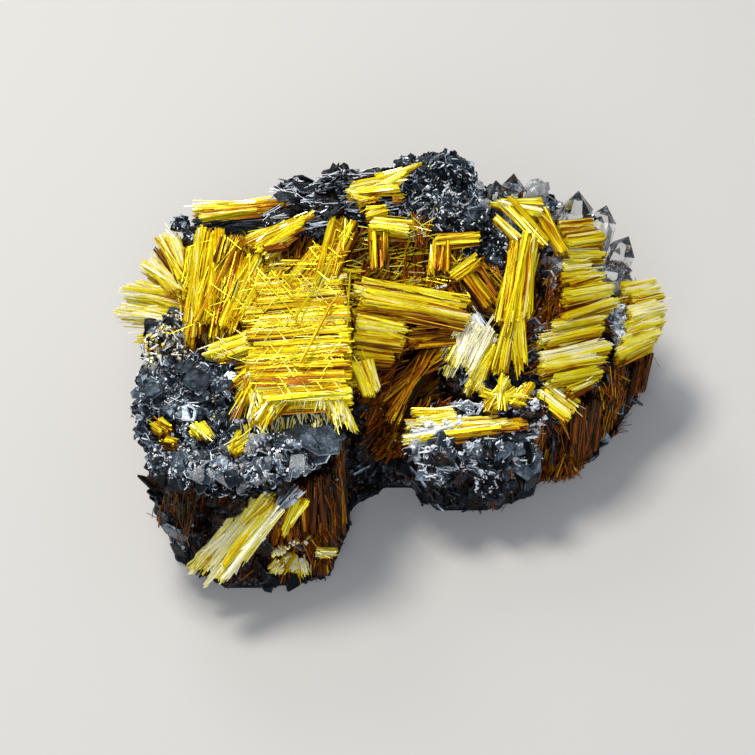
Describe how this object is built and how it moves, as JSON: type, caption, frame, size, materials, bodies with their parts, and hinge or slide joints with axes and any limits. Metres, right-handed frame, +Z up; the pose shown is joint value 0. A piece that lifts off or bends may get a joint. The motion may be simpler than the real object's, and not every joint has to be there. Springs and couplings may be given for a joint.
{
  "type": "rutile and hematite crystal cluster",
  "caption": "Mineral specimen: sheaves of straight golden rutile needles lying on and across a black platy hematite matrix, with small clear quartz crystals and a flat underside.",
  "frame": {"origin": "on the flat underside, under the middle of the bounding box", "axes": "+X along the longest side towards the rutile rim, +Z up out of the flat underside, +Y towards the high crest at the back"},
  "size_m": [0.058, 0.0452, 0.0243],
  "materials": {
    "golden_rutile": "silky, lemon yellow to golden needle bundles",
    "brown_rutile": "silky red-brown broken needle ends",
    "specular_hematite": "black to steel blue with a metallic sparkle",
    "clear_quartz": "clear to greyish, glassy"
  },
  "bodies": {
    "root": {"crest_lance": "golden_rutile", "crest_nuggets": "golden_rutile", "northwest_bar": "golden_rutile", "northwest_blade": "golden_rutile", "west_fan": "golden_rutile", "east_column": "golden_rutile", "centre_bar": "golden_rutile", "north_posts": "golden_rutile", "lattice_mat": "golden_rutile", "mat_nub": "golden_rutile", "diagonal_bar": "golden_rutile", "cavity_wedge": "golden_rutile", "north_bundle_west": "golden_rutile", "north_bundle_east": "golden_rutile", "northeast_bars": "golden_rutile", "northeast_block": "golden_rutile", "east_sheaf_upper": "golden_rutile", "east_sheaf_middle": "golden_rutile", "east_sheaf_lower": "golden_rutile", "east_rim": "golden_rutile", "southeast_tuft": "golden_rutile", "south_star": "golden_rutile", "south_lip_bar": "golden_rutile", "front_tuft": "golden_rutile", "front_low_tuft": "golden_rutile", "front_blade": "golden_rutile", "lobe_tuft_west": "golden_rutile", "lobe_tuft_middle": "golden_rutile", "lobe_tuft_east": "golden_rutile", "lobe_corner_fibres": "brown_rutile", "lobe_side_fibres": "brown_rutile", "east_wall_fibres": "brown_rutile", "rim_wall_fibres": "brown_rutile", "quartz_northeast_crystals": "clear_quartz", "quartz_east_crystals": "clear_quartz", "quartz_north_tip": "clear_quartz", "quartz_lobe_crust": "clear_quartz", "quartz_lobe_chip": "clear_quartz", "quartz_west_crust": "clear_quartz", "hematite_matrix": "specular_hematite"}
  },
  "joints": []
}
